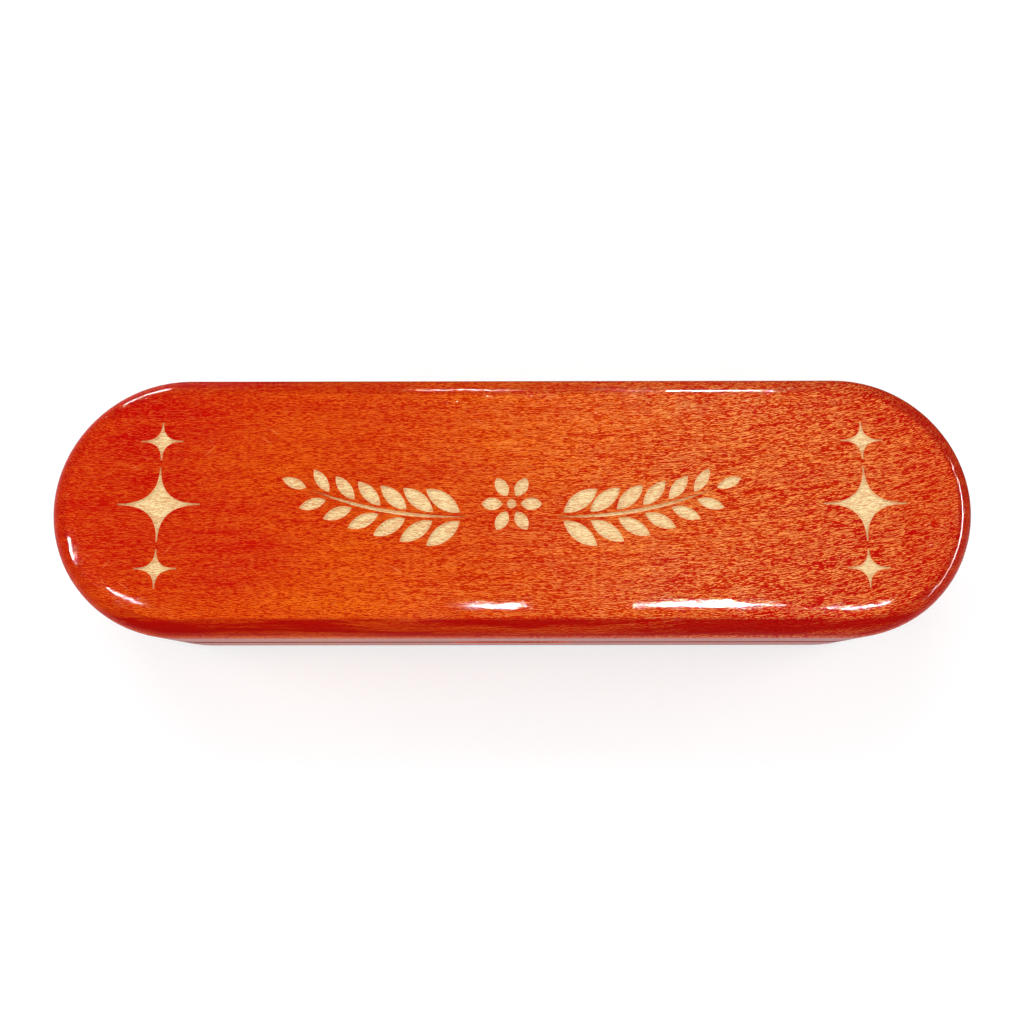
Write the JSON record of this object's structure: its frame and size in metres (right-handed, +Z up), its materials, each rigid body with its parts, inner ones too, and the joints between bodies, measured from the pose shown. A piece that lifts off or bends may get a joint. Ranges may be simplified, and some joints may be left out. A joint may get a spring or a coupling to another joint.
{
  "type": "brush box with hinged lid",
  "caption": "Long wooden brush box with half-round ends, glossy red-orange lacquer, a thumb notch, a lined and padded hollow with brush channels, and a lid on brass butt hinges.",
  "frame": {"origin": "centre of the flat underside of the base", "axes": "+X runs along the box, -Y is the front with the thumb notch, +Y is the hinge side, +Z is up"},
  "size_m": [0.175, 0.05, 0.029],
  "materials": {
    "lacquered_wood": "high-gloss red-orange lacquer over fine-grained wood; the engraving in the lid is bare pale wood",
    "velvet": "short-pile ivory velvet over foam",
    "satin": "soft-sheen ivory satin over foam",
    "greyboard": "matte board",
    "hinge_brass": "polished, lightly tarnished",
    "screw_brass": "polished, with slotted heads",
    "nickel": "bright nickel plate"
  },
  "bodies": {
    "base": {"base_shell": "lacquered_wood", "brush_insert": "velvet", "base_wall_lining": "velvet", "left_hinge_base_leaf": "hinge_brass", "left_hinge_base_screws": "screw_brass", "left_hinge_pin": "hinge_brass", "left_base_magnet": "nickel", "right_hinge_base_leaf": "hinge_brass", "right_hinge_base_screws": "screw_brass", "right_hinge_pin": "hinge_brass", "right_base_magnet": "nickel"},
    "lid": {"lid_shell": "lacquered_wood", "lid_wall_lining": "velvet", "lid_pad_board": "greyboard", "lid_pad_cushion": "satin", "left_hinge_lid_leaf": "hinge_brass", "left_hinge_lid_screws": "screw_brass", "left_lid_magnet": "nickel", "right_hinge_lid_leaf": "hinge_brass", "right_hinge_lid_screws": "screw_brass", "right_lid_magnet": "nickel"}
  },
  "joints": [
    {"name": "lid_hinge", "type": "hinge", "parent": "base", "child": "lid", "pos_m": [0, 0.0236, 0.014], "axis": [-1, 0, 0], "range_deg": [0, 100]}
  ]
}
